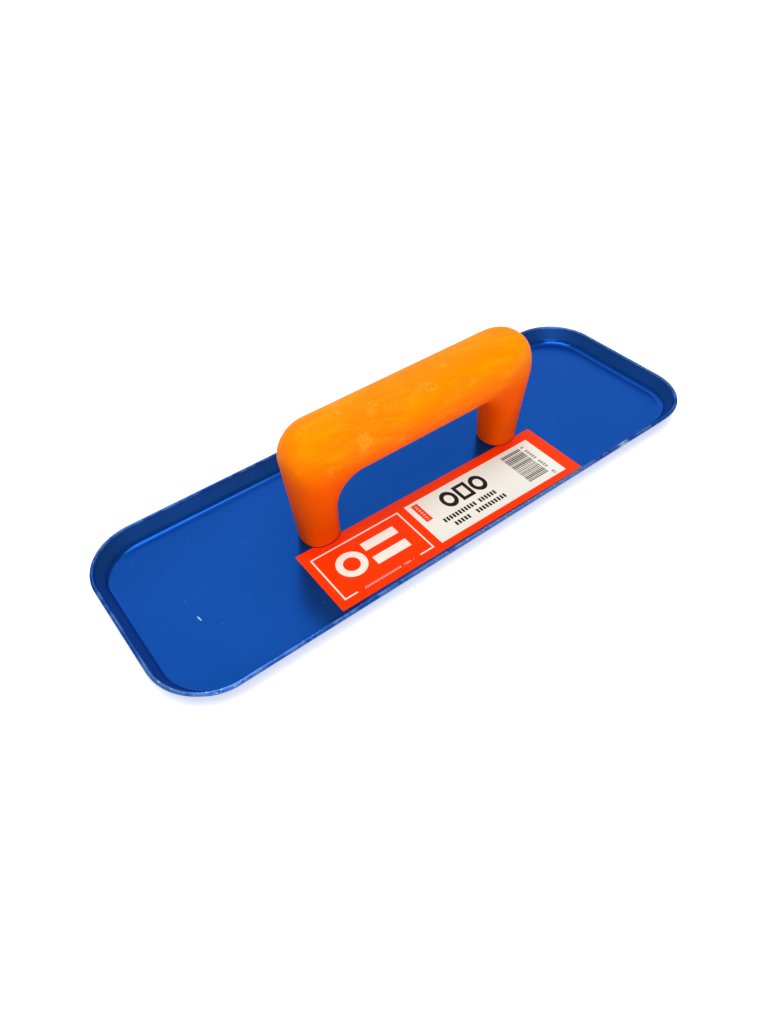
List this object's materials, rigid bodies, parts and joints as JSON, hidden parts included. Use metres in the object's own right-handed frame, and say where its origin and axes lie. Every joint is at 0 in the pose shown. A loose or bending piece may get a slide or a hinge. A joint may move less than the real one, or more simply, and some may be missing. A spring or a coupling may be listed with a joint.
{
  "type": "concrete hand float",
  "caption": "Steel hand float for smoothing fresh concrete: a shallow pressed tray with a turned-up rim, and a moulded D handle screwed on from below.",
  "frame": {"origin": "middle of the sole, on the sole", "axes": "+X along the tray, +Y across it away from the label, +Z from the sole up to the grip"},
  "size_m": [0.29, 0.1, 0.0603],
  "materials": {
    "tray_paint": "gloss blue paint over pressed carbon steel",
    "handle_plastic": "satin orange moulding with flow marks",
    "label_print": "glossy printed sticker",
    "insert_brass": "turned and knurled",
    "screw_zinc": "bright zinc plate"
  },
  "bodies": {
    "root": {"float_plate": "tray_paint", "handle": "handle_plastic", "label": "label_print", "left_insert": "insert_brass", "right_insert": "insert_brass", "left_screw": "screw_zinc", "right_screw": "screw_zinc"}
  },
  "joints": []
}
